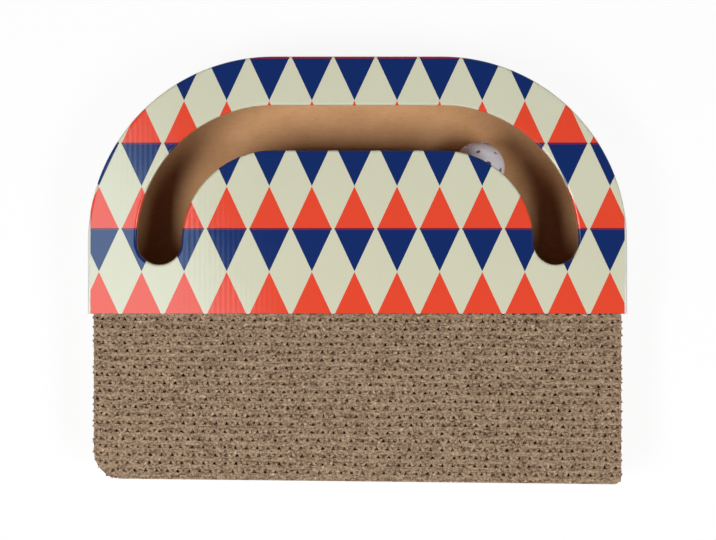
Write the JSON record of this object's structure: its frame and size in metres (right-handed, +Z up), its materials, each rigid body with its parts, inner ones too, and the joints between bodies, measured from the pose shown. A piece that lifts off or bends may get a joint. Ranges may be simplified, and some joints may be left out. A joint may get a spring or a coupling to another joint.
{
  "type": "cardboard cat scratcher",
  "caption": "Cat scratcher: a pad of corrugated strips on edge in front of a printed arched housing, with a ball to roll along the channel under its slot.",
  "frame": {"origin": "centre of the footprint, on the surface the scratcher lies on", "axes": "+X along the width, +Y from the pad towards the arch, +Z up"},
  "size_m": [0.35, 0.278, 0.046],
  "materials": {
    "pad_board": "matte",
    "kraft_board": "matte",
    "printed_board": "gloss",
    "ball_plastic": "gloss",
    "bell_metal": "polished",
    "pellet_metal": "satin"
  },
  "bodies": {
    "housing_and_pad": {"base_panel": "kraft_board", "outer_wall": "printed_board", "inner_wall": "kraft_board", "front_wall": "kraft_board", "top_panel": "printed_board", "pad_strip_01": "pad_board", "pad_strip_02": "pad_board", "pad_strip_03": "pad_board", "pad_strip_04": "pad_board", "pad_strip_05": "pad_board", "pad_strip_06": "pad_board", "pad_strip_07": "pad_board", "pad_strip_08": "pad_board", "pad_strip_09": "pad_board", "pad_strip_10": "pad_board", "pad_strip_11": "pad_board", "pad_strip_12": "pad_board", "pad_strip_13": "pad_board", "pad_strip_14": "pad_board", "pad_strip_15": "pad_board", "pad_strip_16": "pad_board", "pad_strip_17": "pad_board", "pad_strip_18": "pad_board", "pad_strip_19": "pad_board", "pad_strip_20": "pad_board", "pad_strip_21": "pad_board", "pad_strip_22": "pad_board"},
    "bell_in_ball": {"bell": "bell_metal", "bell_pellet": "pellet_metal"},
    "ball": {"ball_shell_a": "ball_plastic", "ball_shell_b": "ball_plastic"}
  },
  "joints": [
    {"name": "ball_travel", "type": "hinge", "parent": "housing_and_pad", "child": "bell_in_ball", "pos_m": [0, -0.056, 0.0203], "axis": [0, 0, 1], "range_deg": [-35.1, 101.1]},
    {"name": "ball_roll", "type": "hinge", "parent": "bell_in_ball", "child": "ball", "pos_m": [0.081, 0.06873, 0.0203], "axis": [0.5446, 0.8387, 0], "continuous": true}
  ],
  "couplings": [
    {"joint": "ball_roll", "follows": "ball_travel", "ratio": -8.7479}
  ]
}
